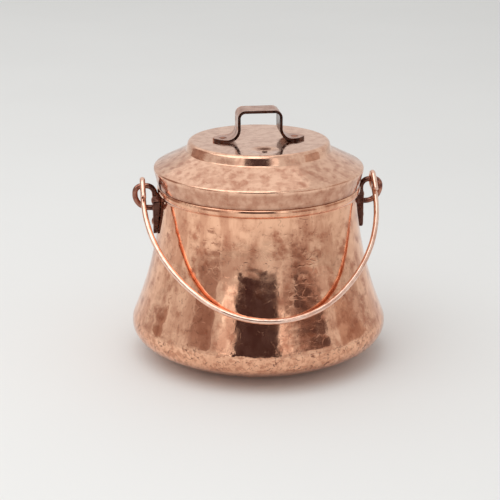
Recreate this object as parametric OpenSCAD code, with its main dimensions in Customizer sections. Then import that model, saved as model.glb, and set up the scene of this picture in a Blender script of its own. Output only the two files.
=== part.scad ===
// Copper stew pot with a loose lid, two riveted ring ears and a swinging bail.
// The origin is on the pot's axis, on the surface that the pot stands on. +Z is up, +X points
// to the right ear and -Y to the front, where the bail leans on the flank at rest.

/* [Pot body] */
// Thickness of the body's copper sheet
body_wall = 1.5; // [1.2:0.1:2]
// Radius of the flat that the pot stands on
base_flat_r = 52; // [44:1:60]
// Largest outer radius, at the shoulder
widest_r = 110.8; // [107:0.2:116]
// Height of the widest ring above the surface
widest_z = 30; // [27:0.5:34]
// Outer radius of the shoulder's rounding
shoulder_round = 17; // [13:0.5:20]
// Lean of the flank just under the bead, in degrees from vertical
waist_lean = 3; // [1:0.5:5]
// Outer radius of the neck, which stands up inside the lid
neck_r = 84.5; // [80:0.5:88]
// Height of the seat that the lid rests on
seat_z = 150.7; // [146:0.1:156]
// How far the neck rises above the seat
neck_rise = 12.3; // [9:0.1:14]
// How far the bead stands out past the edge of the seat
bead_out = 0.9; // [0.6:0.1:1.4]
// Radius of the bead's round
bead_round = 5; // [4.5:0.1:6]

/* [Lid] */
// Thickness of the lid's copper sheet
lid_wall = 1.3; // [1:0.1:1.6]
// Gap between the neck and the lower edge of the skirt
lid_clear = 0.5; // [0.3:0.1:0.8]
// Lean of the skirt, in degrees from vertical, wider at the top
skirt_lean = 13; // [8:0.5:16]
// Height of the ridge above the skirt's lower edge
ridge_h = 16.3; // [15:0.1:20]
// Outer radius of the ridge's rounding
ridge_round = 2.2; // [1.8:0.1:3]
// Slope of the brim, in degrees from level
brim_slope = 26.6; // [22:0.2:30]
// Radius where the riser stands on the brim
riser_r = 62.3; // [56:0.1:68]
// Height of the raised plateau above the foot of its riser
riser_h = 8.4; // [7:0.1:12]
// Lean of the riser, in degrees from vertical, narrower at the top
riser_lean = 16; // [8:1:24]
// Radius of the hollow at the foot of the riser
riser_foot_round = 1.6; // [1:0.1:2.5]
// Outer radius of the plateau's edge
plateau_round = 3.4; // [2:0.1:4]
// Diameter of the steam hole
steam_hole_d = 4.5; // [3:0.1:6]
// Distance of the steam hole from the middle of the lid, towards the front
steam_hole_out = 39; // [34:0.5:44]

/* [Lid handle] */
// Thickness of the handle's strap
strap_t = 2.4; // [2:0.1:3]
// Width of the handle's strap
strap_w = 22; // [18:0.5:26]
// Height of the strap's top above the plateau
strap_h = 26.9; // [24:0.1:34]
// Width over the two legs of the handle
strap_span = 38; // [34:0.5:44]
// Outer radius of the two upper bends
strap_bend = 6.5; // [5:0.1:8]
// Inner radius of the two bends at the feet
foot_bend = 8.8; // [7:0.1:10]
// Distance from the outer face of a leg to the tip of its foot
foot_reach = 20.3; // [18:0.1:24]
// Half of the angle between the two sides of a foot's point
foot_point = 50; // [45:1:60]
// Radius of the foot's tip
tip_round = 5; // [3:0.2:6]
// Radius where a foot's sides turn towards its tip
foot_side_round = 8; // [4:0.2:9]
// Distance from the tip of a foot to its rivet
foot_rivet_in = 8.6; // [7.6:0.1:9.4]

/* [Ears] */
// Diameter of the rod that the ears are forged from
ear_rod_d = 4.8; // [4.2:0.1:5.4]
// Thickness of an ear's tail where it stands out least
tail_t = 3.2; // [2.8:0.1:4]
// Width of an ear's tail
tail_w = 10.5; // [9:0.1:12]
// Height of the hinge axis above the lid's seat
hinge_rise = 0.9; // [0:0.1:2]
// Distance from the hinge axis down to the end of an ear's tail
tail_len = 42.5; // [40:0.5:46]
// Height over which a tail narrows to the rod
tail_taper = 7; // [6:0.5:8]
// Height of a tail's top above the end of the ring's inner bend
tail_rise = 0.7; // [0.5:0.1:1]
// Height of an ear's ring between the middles of its rod
ring_h = 19.4; // [19:0.1:21]
// Radius of the ring's lower bend
ring_low_round = 12.2; // [10:0.2:12.6]
// Distance from a tail's outer face to the middle of the bail's eye
eye_out = 8.2; // [7.8:0.1:9]
// Distance from the middle of the bail's eye to the ring's outer edge
ring_beyond = 9; // [8.6:0.1:10]
// Length of the level top of a ring on the pot's side of the eye
ring_top_in = 3; // [2.8:0.1:3.4]
// Length of the level top of a ring beyond the middle of the eye
ring_top_out = 0.8; // [0.6:0.1:1.2]
// Gap between the end of an ear's rod and its tail
ring_end_gap = 0.3; // [0.2:0.1:0.6]
// How far an ear's rod stands out past its tail where the two join
rod_proud = 0.4; // [0.2:0.1:0.8]

/* [Bail] */
// Diameter of the bail's rod
bail_d = 4.7; // [4.2:0.1:5.2]
// Gap between an ear's rod and the bail's eye round it
eye_clear = 0.6; // [0.4:0.1:0.8]
// Distance from the hinge axis to the middle of the bow
bail_drop = 136.2; // [132:0.2:142]
// Radius of the bow's bottom
bow_round = 82; // [74:1:88]
// Distance from the hinge axis to the rod's cut end, which closes the eye where the bow starts
eye_len = 15; // [14:0.1:17]
// Gap between the rod's cut end and the start of the bow
eye_end_gap = 0.3; // [0.2:0.1:0.6]
// Gap between the flank and the bow at rest
bail_gap = 0.3; // [0.2:0.1:0.6]

/* [Rivets] */
// Diameter of an ear rivet's shank
ear_rivet_d = 3.8; // [3:0.1:4.4]
// Diameter of an ear rivet's heads
ear_head_d = 6.4; // [5.6:0.1:7]
// Height of an ear rivet's heads
ear_head_h = 1.2; // [0.8:0.1:1.4]
// Distance from the hinge axis down to the upper ear rivet
upper_rivet_down = 13.3; // [12.8:0.1:13.4]
// Distance from the hinge axis down to the lower ear rivet
lower_rivet_down = 31.6; // [27:0.2:34]
// Diameter of a handle rivet's shank
foot_rivet_d = 3.6; // [3:0.1:4]
// Diameter of a handle rivet's heads
foot_head_d = 7; // [5.6:0.1:7.4]
// Height of a handle rivet's heads
foot_head_h = 0.9; // [0.6:0.1:1.2]
// Gap between a rivet's shank and its hole
hole_clear = 0.05; // [0.02:0.01:0.1]
// Gap between a part that lies on the flank and the flank
seat_clear = 0.05; // [0.02:0.01:0.1]

/* [Hidden] */

polished_copper = "#D99A7C";
forged_copper = "#8C4A3A";
bright_copper = "#E8B59A";

// Facets of a full circle
revolve_fn = 96;
rod_fn = 24;
// Slack with which a cutter runs past what it cuts
past = 1;
// A forged rod's stretches stop short of where they meet, and a ball a little proud joins them
joint_trim = 0.2;
joint_proud = 0.05;

// Body: the bead, the flank's hollow, the shoulder and the base are arcs that meet
foot_edge_t = lid_wall / cos(skirt_lean);
skirt_low_r = neck_r + lid_clear + foot_edge_t;
bead_crest_r = skirt_low_r + bead_out;
rim_z = seat_z + neck_rise;
bead_c = [bead_crest_r - bead_round, seat_z - bead_round * sin(acos(1 - bead_out / bead_round))];
bead_low_turn = acos((neck_r - bead_c[0]) / bead_round);
waist_top = [neck_r, bead_c[1] - bead_round * sin(bead_low_turn)];
shoulder_c = [widest_r - shoulder_round, widest_z];
// The hollow is tangent to the waist's line at waist_top and to the shoulder's rounding
waist_out = [cos(waist_lean), sin(waist_lean)];
waist_from_shoulder = waist_top - shoulder_c;
hollow_round = (waist_from_shoulder * waist_from_shoulder - shoulder_round * shoulder_round)
    / (2 * (shoulder_round - waist_from_shoulder * waist_out));
hollow_c = waist_top + hollow_round * waist_out;
flank_lean = atan2(hollow_c[1] - shoulder_c[1], hollow_c[0] - shoulder_c[0]);
// The base's arc is tangent to the flat and to the shoulder
base_run = shoulder_c[0] - base_flat_r;
base_round = (base_run * base_run + widest_z * widest_z - shoulder_round * shoulder_round)
    / (2 * (widest_z - shoulder_round));
base_turn = asin(base_run / (base_round - shoulder_round));

// Lid: corners of its outer face
ridge_v = [skirt_low_r + ridge_h * tan(skirt_lean), seat_z + ridge_h];
riser_v = [riser_r, ridge_v[1] + (ridge_v[0] - riser_r) * tan(brim_slope)];
plateau_z = riser_v[1] + riser_h;
plateau_v = [riser_r - riser_h * tan(riser_lean), plateau_z];

// Lid handle
strap_top_z = plateau_z + strap_h;
leg_r = strap_span / 2;
foot_top_z = plateau_z + strap_t;
tip_r = leg_r + foot_reach;
foot_rivet_r = tip_r - foot_rivet_in;

// Ears and hinge
hinge_z = seat_z + hinge_rise;
tail_low_z = hinge_z - tail_len;
tail_face_r = max(bead_crest_r, flank_r(tail_low_z)) + tail_t;
eye_r = tail_face_r + eye_out;
ear_rod_r = ear_rod_d / 2;
ring_in_r = tail_face_r - ear_rod_r + rod_proud;
ring_out_r = eye_r + ring_beyond - ear_rod_r;
ring_top_a = eye_r - ring_top_in;
ring_top_b = eye_r + ring_top_out;
ring_in_round = ring_top_a - ring_in_r;
ring_out_round = ring_out_r - ring_top_b;
// The rod runs down the tail as far as the upper rivet's head
rod_in_tail = upper_rivet_down - ear_head_d / 2 - ring_end_gap - ring_in_round;
upper_rivet_z = hinge_z - upper_rivet_down;
lower_rivet_z = hinge_z - lower_rivet_down;

// Bail: the eye's rod runs round the ear's rod, the bow's side arc meets its bottom arc
bail_r = bail_d / 2;
eye_round = ear_rod_r + eye_clear + bail_r;
crank_turn = 2 * atan(eye_round / eye_len);
crank_round = eye_len / (2 * sin(crank_turn));
eye_closing = asin((eye_round - bail_d - eye_end_gap) / eye_len);
bow_h = bail_drop - bow_round - eye_len;
side_round = (eye_r * eye_r + bow_h * bow_h - bow_round * bow_round) / (2 * (eye_r - bow_round));
side_turn = atan2(bow_h, side_round - eye_r);
// At rest the bow's middle lies on the flank's hollow: two circles meet there
hinge_to_hollow = hollow_c - [0, hinge_z];
hinge_dist = norm(hinge_to_hollow);
rest_reach = hollow_round - bail_r - bail_gap;
rest_along = (bail_drop * bail_drop - rest_reach * rest_reach + hinge_dist * hinge_dist)
    / (2 * hinge_dist);
rest_lean = 90 + atan2(hinge_to_hollow[1], hinge_to_hollow[0]) - acos(rest_along / bail_drop);

// Radius and lean of the body's outer face at a height on the flank's hollow
function flank_r(z) = hollow_c[0] - sqrt(pow(hollow_round, 2) - pow(z - hollow_c[1], 2));
function flank_lean_at(z) = asin((hollow_c[1] - z) / hollow_round);

// Points of an arc about c from angle a0 to a1
function arc(c, r, a0, a1, n) =
    [for (i = [0:n]) let (a = a0 + (a1 - a0) * i / n) c + r * [cos(a), sin(a)]];

// Rounded corner at v of a face whose outward normal turns from n0 to n1, seen at depth t.
// side is 1 for a corner that stands out and -1 for a hollow one.
function corner(v, n0, n1, r, t, side, n) =
    let (mid = (n0 + n1) / 2, c = v - side * r / cos((n1 - n0) / 2) * [cos(mid), sin(mid)])
    arc(c, side * r - t, n0, n1, n);

// Angle at a of the triangle whose sides at a are p and q, and whose third side is r
function corner_angle(p, q, r) = acos((p * p + q * q - r * r) / (2 * p * q));

// Where the bead's arc and the hollow's arc meet once both are grown by a gap: the angle on each
function waist_cut(gap) = let (span = hollow_c - bead_c, d = norm(span), a = atan2(span[1], span[0]),
        rb = bead_round + gap, rh = hollow_round - gap)
    [a - corner_angle(d, rb, rh), a + corner_angle(d, rh, rb)];

// Body's outer face (t = 0), its inner face (t = body_wall) or its outer face grown by -t,
// from the rim to the axis
function body_line(t) = let (bead_top = asin((seat_z - t - bead_c[1]) / (bead_round - t)),
        cut = waist_cut(max(-t, 0))) concat(
    [[neck_r - t, rim_z - body_wall / 2], [neck_r - t, seat_z - t]],
    arc(bead_c, bead_round - t, bead_top, cut[0], 12),
    arc(hollow_c, -hollow_round - t, cut[1], flank_lean, 14),
    arc(shoulder_c, shoulder_round - t, flank_lean, base_turn - 90, 14),
    arc([base_flat_r, base_round], base_round - t, base_turn - 90, -90, 8),
    [[0, t]]);

// Lid's outer face (t = 0) or its inner face (t = lid_wall), from the axis to the lower edge
function lid_line(t) = concat(
    [[0, plateau_z - t]],
    corner(plateau_v, 90, riser_lean, plateau_round, t, 1, 8),
    corner(riser_v, riser_lean, 90 - brim_slope, riser_foot_round, t, -1, 5),
    corner(ridge_v, 90 - brim_slope, -skirt_lean, ridge_round, t, 1, 8),
    [[skirt_low_r - t / cos(skirt_lean), seat_z]]);

// Handle strap's upper face (t = 0) or its lower face (t = strap_t), on the right side
function strap_line(t) = concat(
    corner([leg_r, strap_top_z], 90, 0, strap_bend, t, 1, 9),
    corner([leg_r, foot_top_z], 0, 90, foot_bend, t, -1, 9),
    [[tip_r, foot_top_z - t]]);

function reversed(p) = [for (i = [len(p) - 1:-1:0]) p[i]];
function mirrored(p) = [for (q = p) [-q[0], q[1]]];

// Everything inside the body's outer face grown by a gap, up to the rim
module body_mass(gap) {
    line = body_line(-gap);
    rotate([0, 0, 90]) rotate_extrude($fn = revolve_fn)
        polygon(concat([[0, rim_z]], [[line[0][0], rim_z]], line));
}

// Low dome on the XY plane, as a hammered rivet head
module dome(d, h) {
    ball = (d * d / 4 + h * h) / (2 * h);
    intersection() {
        translate([0, 0, h - ball]) sphere(ball, $fn = revolve_fn);
        cylinder(d = d, h = h, $fn = revolve_fn);
    }
}

// Rod bent about the Z axis from angle a0 to a1, short of each end by the joint's trim
module bent_rod(r, d, a0, a1) {
    trim = joint_trim / r * 180 / PI;
    rotate([0, 0, a0 + trim]) rotate_extrude(angle = a1 - a0 - 2 * trim, $fn = revolve_fn)
        translate([r, 0]) circle(d = d, $fn = rod_fn);
}

// Straight rod along X from x0 to x1
module rod_x(d, x0, x1) {
    translate([x0, 0, 0]) rotate([0, 90, 0]) cylinder(d = d, h = x1 - x0, $fn = rod_fn);
}

// Ball over the joint of two stretches of rod, with its poles along the rod
module joint_ball(d) {
    rotate([0, 90, 0]) sphere(d = d + 2 * joint_proud, $fn = revolve_fn);
}

// Rod that runs on from the origin along X. Each step is [length, 0, roll] for a straight
// stretch or [radius, turn, roll] for a bend to the left, or to the right where turn is
// negative. The roll turns the plane of the bend about the rod first.
module rod_run(steps, d, i = 0) {
    if (i < len(steps)) {
        size = steps[i][0];
        turn = steps[i][1];
        left = turn < 0 ? -1 : 1;
        rotate([steps[i][2], 0, 0]) {
            joint_ball(d);
            if (turn == 0) {
                rod_x(d, joint_trim, size - joint_trim);
                translate([size, 0, 0]) rod_run(steps, d, i + 1);
            } else {
                translate([0, left * size, 0])
                    bent_rod(size, d, min(-left * 90, turn - left * 90), max(-left * 90, turn - left * 90));
                translate([0, left * size, 0]) rotate([0, 0, turn]) translate([0, -left * size, 0])
                    rod_run(steps, d, i + 1);
            }
        }
    }
}

module pot_body() {
    lip_c = [neck_r - body_wall / 2, rim_z - body_wall / 2];
    color(polished_copper) difference() {
        rotate_extrude($fn = revolve_fn) polygon(concat(
            arc(lip_c, body_wall / 2, 170, 10, 6), body_line(0), reversed(body_line(body_wall))));
        for (side = [0, 1], z = [upper_rivet_z, lower_rivet_z])
            mirror([side, 0, 0]) ear_rivet_hole(z);
    }
}

module ear_rivet_hole(z) {
    translate([0, 0, z]) rod_x(ear_rivet_d + 2 * hole_clear, shoulder_c[0] / 2, tail_face_r + past);
}

// Tail of an ear, seen along X: round at its foot, and narrowed to the rod at its top
module tail_shape() {
    top = hinge_z - ring_in_round + tail_rise;
    low_r = tail_w / 2;
    taper_foot = top - tail_taper;
    polygon(concat(
        arc([0, tail_low_z + low_r], low_r, 180, 360, 16),
        [[low_r, taper_foot], [ear_rod_r / 2, top], [-ear_rod_r / 2, top], [-low_r, taper_foot]]));
}

module ear() {
    back_r = neck_r - past;
    color(forged_copper) difference() {
        union() {
            translate([back_r, 0, 0]) rotate([90, 0, 90])
                linear_extrude(tail_face_r - back_r) tail_shape();
            translate([ring_top_b, 0, hinge_z]) rotate([90, 0, 0]) rod_run([
                [ring_out_round, -90, 0],
                [ring_h - ring_out_round - ring_low_round, 0, 0],
                [ring_low_round, -90, 0],
                [ring_out_r - ring_low_round - tail_face_r - ring_end_gap, 0, 0]], ear_rod_d);
            translate([ring_top_a, 0, hinge_z]) rotate([90, 0, 180]) rod_run([
                [ring_in_round, -90, 0],
                [rod_in_tail, 0, 0]], ear_rod_d);
            translate([0, 0, hinge_z])
                rod_x(ear_rod_d, ring_top_a + joint_trim, ring_top_b - joint_trim);
        }
        body_mass(seat_clear);
        for (z = [upper_rivet_z, lower_rivet_z]) ear_rivet_hole(z);
    }
}

// Rivet through an ear's tail and the body, with its inner head beaten down on the body
module ear_rivet(z) {
    lean = flank_lean_at(z);
    wall_in_r = flank_r(z) - (body_wall + seat_clear) / cos(lean);
    color(forged_copper) translate([0, 0, z]) {
        rod_x(ear_rivet_d, wall_in_r - ear_head_h / 2, tail_face_r);
        translate([tail_face_r, 0, 0]) rotate([0, 90, 0]) dome(ear_head_d, ear_head_h);
        translate([wall_in_r, 0, 0]) rotate([0, -90 - lean, 0]) dome(ear_head_d, ear_head_h);
    }
}

// Half of the bail, hanging straight down from the hinge axis at the origin. An eye's front
// runs down to the rod's cut end, and its back is cranked in to the line of the bow.
module bail_half() {
    translate([eye_r, 0, 0]) rotate([90, 0, 90]) {
        bent_rod(eye_round, bail_d, 0, 180 + eye_closing);
        rotate([0, 0, eye_closing]) translate([-eye_round, 0, 0]) rotate([0, 0, -90])
            rod_run([[eye_len, 0, 0]], bail_d);
        translate([eye_round, 0, 0]) rotate([0, 0, -90]) rod_run([
            [crank_round, -crank_turn, 0],
            [crank_round, crank_turn, 0],
            [side_round, -side_turn, 90],
            [bow_round, side_turn - 90, 0]], bail_d);
    }
}

module bail() {
    color(bright_copper) translate([0, 0, hinge_z]) rotate([-rest_lean, 0, 0]) {
        bail_half();
        mirror([1, 0, 0]) bail_half();
        translate([0, 0, -bail_drop]) joint_ball(bail_d);
    }
}

module lid() {
    color(polished_copper) difference() {
        rotate_extrude($fn = revolve_fn)
            polygon(concat(lid_line(0), reversed(lid_line(lid_wall))));
        translate([0, -steam_hole_out, plateau_z - lid_wall - past])
            cylinder(d = steam_hole_d, h = lid_wall + 2 * past, $fn = revolve_fn);
        for (side = [-1, 1]) foot_rivet_hole(side);
    }
}

module foot_rivet_hole(side) {
    translate([side * foot_rivet_r, 0, plateau_z - lid_wall - past])
        cylinder(d = foot_rivet_d + 2 * hole_clear, h = strap_t + lid_wall + 2 * past, $fn = revolve_fn);
}

// One side of the handle seen from above, narrowing to a rounded point at its foot
function foot_plan() =
    let (half_w = strap_w / 2, side_turn_a = 90 - foot_point,
        point = [tip_r + tip_round * (1 / cos(side_turn_a) - 1), 0],
        side_v = [point[0] - half_w * tan(side_turn_a), half_w])
    concat(corner(side_v, 90, side_turn_a, foot_side_round, 0, 1, 6),
        corner(point, side_turn_a, -side_turn_a, tip_round, 0, 1, 8),
        corner([side_v[0], -half_w], -side_turn_a, -90, foot_side_round, 0, 1, 6));

module lid_handle() {
    upper = concat(reversed(mirrored(strap_line(0))), strap_line(0));
    lower = concat(reversed(mirrored(strap_line(strap_t))), strap_line(strap_t));
    color(forged_copper) difference() {
        intersection() {
            translate([0, strap_w, 0]) rotate([90, 0, 0]) linear_extrude(2 * strap_w)
                polygon(concat(upper, reversed(lower)));
            translate([0, 0, plateau_z - past]) linear_extrude(strap_h + 2 * past)
                polygon(concat(foot_plan(), reversed(mirrored(foot_plan()))));
        }
        for (side = [-1, 1]) foot_rivet_hole(side);
    }
}

// Rivet through a foot of the handle and the lid
module foot_rivet(side) {
    color(forged_copper) translate([side * foot_rivet_r, 0, 0]) {
        translate([0, 0, plateau_z - lid_wall])
            cylinder(d = foot_rivet_d, h = lid_wall + strap_t, $fn = revolve_fn);
        translate([0, 0, foot_top_z]) dome(foot_head_d, foot_head_h);
        translate([0, 0, plateau_z - lid_wall]) mirror([0, 0, 1]) dome(foot_head_d, foot_head_h);
    }
}

pot_body();
mirror([1, 0, 0]) ear();  // left_ear
ear();  // right_ear
mirror([1, 0, 0]) ear_rivet(upper_rivet_z);  // left_ear_upper_rivet
mirror([1, 0, 0]) ear_rivet(lower_rivet_z);  // left_ear_lower_rivet
ear_rivet(upper_rivet_z);  // right_ear_upper_rivet
ear_rivet(lower_rivet_z);  // right_ear_lower_rivet
bail();
lid();
lid_handle();
foot_rivet(-1);  // lid_handle_left_rivet
foot_rivet(1);  // lid_handle_right_rivet
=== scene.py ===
"""Looks of a hand-hammered copper stew pot, built round its packed construction.

The pot's body, lid, strap handle, ears and bail are modelled here with the marks of the
hammer in their surfaces, and the rivets are given a copper finish. Each stands for the node of
the same name and rides on that node's body.
"""
import sys
import logging
import math
import random
from collections.abc import Callable
from dataclasses import dataclass, field
from enum import Enum

import bmesh
import bpy
from mathutils import Matrix, Vector
from mathutils.kdtree import KDTree


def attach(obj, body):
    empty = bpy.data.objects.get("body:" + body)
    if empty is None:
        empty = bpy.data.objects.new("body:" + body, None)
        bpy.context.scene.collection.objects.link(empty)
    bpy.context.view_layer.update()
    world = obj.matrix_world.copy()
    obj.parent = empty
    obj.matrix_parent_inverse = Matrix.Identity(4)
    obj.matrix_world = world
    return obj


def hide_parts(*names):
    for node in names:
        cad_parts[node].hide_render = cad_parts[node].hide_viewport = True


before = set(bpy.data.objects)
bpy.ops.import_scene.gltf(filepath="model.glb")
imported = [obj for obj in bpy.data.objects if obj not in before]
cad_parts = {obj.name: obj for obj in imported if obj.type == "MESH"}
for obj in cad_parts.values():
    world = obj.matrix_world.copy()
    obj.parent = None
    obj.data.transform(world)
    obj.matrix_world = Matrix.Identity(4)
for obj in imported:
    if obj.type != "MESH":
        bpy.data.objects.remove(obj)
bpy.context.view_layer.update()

LOG = logging.getLogger("stew_pot")
MM = 0.001
UP = Vector((0, 0, 1))
MERGE_GAP = 0.002 * MM
TINY = 1e-9

BMesh = bmesh.types.BMesh
Vertex = bmesh.types.BMVert
Colour = tuple[float, float, float, float]
Socket = bpy.types.NodeSocket
Value = Socket | float | tuple
Outline = list[Vector]


class Side(Enum):
    """Which side of the pot a mirrored piece is on."""

    LEFT = -1
    RIGHT = 1


class Grain(Enum):
    """How a finish was worked, which sets the direction of its finest marks."""

    BRUSHED_ROUND = "brushed round the pot's axis"
    DRAWN_UP = "drawn from the base to the neck"
    WIPED = "wiped in all directions"


# Materials


class Graph:
    """A material's node tree, built a node at a time."""

    def __init__(self, name: str) -> None:
        """Starts an empty material.

        Args:
            name: the material's name.
        """
        self.material = bpy.data.materials.new(name)
        self.material.use_nodes = True
        self.tree = self.material.node_tree
        self.tree.nodes.clear()

    def add(self, kind: str, settings: dict | None = None,
            numbered: dict[int, Value] | None = None, **inputs: Value) -> bpy.types.Node:
        """Adds a node. A socket that is given for an input is linked to it, a value is set.

        Args:
            kind: the node's type, without the word ShaderNode.
            settings: the node's own properties.
            numbered: values or output sockets for inputs that are told by their number.
            **inputs: the same for inputs told by their name; _ stands for a space in it.

        Returns:
            The new node.
        """
        node = self.tree.nodes.new("ShaderNode" + kind)
        for name, value in (settings or {}).items():
            setattr(node, name, value)
        named = {name.replace("_", " "): value for name, value in inputs.items()}
        for key, value in {**(numbered or {}), **named}.items():
            if isinstance(value, Socket):
                self.tree.links.new(value, node.inputs[key])
            else:
                node.inputs[key].default_value = value
        return node

    def object_place(self) -> Socket:
        """Returns the point's place on the object."""
        return self.add("TexCoord").outputs["Object"]

    def stretched(self, place: Socket, scale: tuple[float, float, float]) -> Socket:
        """Returns a place with its axes scaled, which draws out a pattern that is read there."""
        return self.add("Mapping", Vector=place, Scale=scale).outputs["Vector"]

    def noise(self, place: Socket, size: float, detail: float = 3.0,
              rough: float = 0.55) -> Socket:
        """Adds cloudy noise.

        Args:
            place: the place that it is read at.
            size: size of its patches, in metres.
            detail: how many finer layers lie on it.
            rough: how strong the finer layers are.

        Returns:
            The noise's value, about 0 to 1.
        """
        node = self.add("TexNoise", Vector=place, Scale=1 / size, Detail=detail, Roughness=rough)
        return node.outputs["Fac"]

    def ramp(self, value: Socket, low: float, high: float,
             to_low: float = 0.0, to_high: float = 1.0) -> Socket:
        """Maps a value's range smoothly to another range.

        Args:
            value: the value that is mapped.
            low: the value that gives to_low.
            high: the value that gives to_high.
            to_low: the lower result.
            to_high: the upper result.

        Returns:
            The mapped value.
        """
        node = self.add("MapRange", {"interpolation_type": "SMOOTHSTEP"}, Value=value,
                        From_Min=low, From_Max=high, To_Min=to_low, To_Max=to_high)
        return node.outputs["Result"]

    def math(self, what: str, a: Value, b: Value) -> Socket:
        """Adds a sum of two values, such as ADD or MULTIPLY, and returns its result."""
        return self.add("Math", {"operation": what}, {0: a, 1: b}).outputs[0]

    def blend(self, share: Socket, first: Value, second: Value) -> Socket:
        """Mixes two colours, of which the share is the second's, and returns the mix."""
        node = self.add("Mix", {"data_type": "RGBA"}, {0: share, 6: first, 7: second})
        return node.outputs[2]

    def attribute(self, name: str) -> Socket:
        """Returns the value of a mesh's own attribute."""
        return self.add("Attribute", {"attribute_name": name}).outputs["Fac"]

    def finish(self, shader: bpy.types.Node) -> bpy.types.Material:
        """Joins a shader to the material's output and returns the material."""
        self.add("OutputMaterial", Surface=shader.outputs[0])
        return self.material

    def metal(self, colour: Value, rough: Value, depth: float,
              marks: Socket) -> bpy.types.Material:
        """Ends the graph with a bare metal.

        Args:
            colour: its colour.
            rough: its roughness.
            depth: depth of its finest marks.
            marks: the marks' height, about 0 to 1.

        Returns:
            The material.
        """
        bump = self.add("Bump", Strength=1.0, Distance=depth, Height=marks)
        return self.finish(self.add("BsdfPrincipled", Base_Color=colour, Roughness=rough,
                                    Metallic=1.0, Normal=bump.outputs["Normal"]))


def rgb(red: float, green: float, blue: float) -> Colour:
    """Returns a colour of scene-linear parts with full alpha."""
    return (red, green, blue, 1.0)


BLACK = rgb(0, 0, 0)


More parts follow.
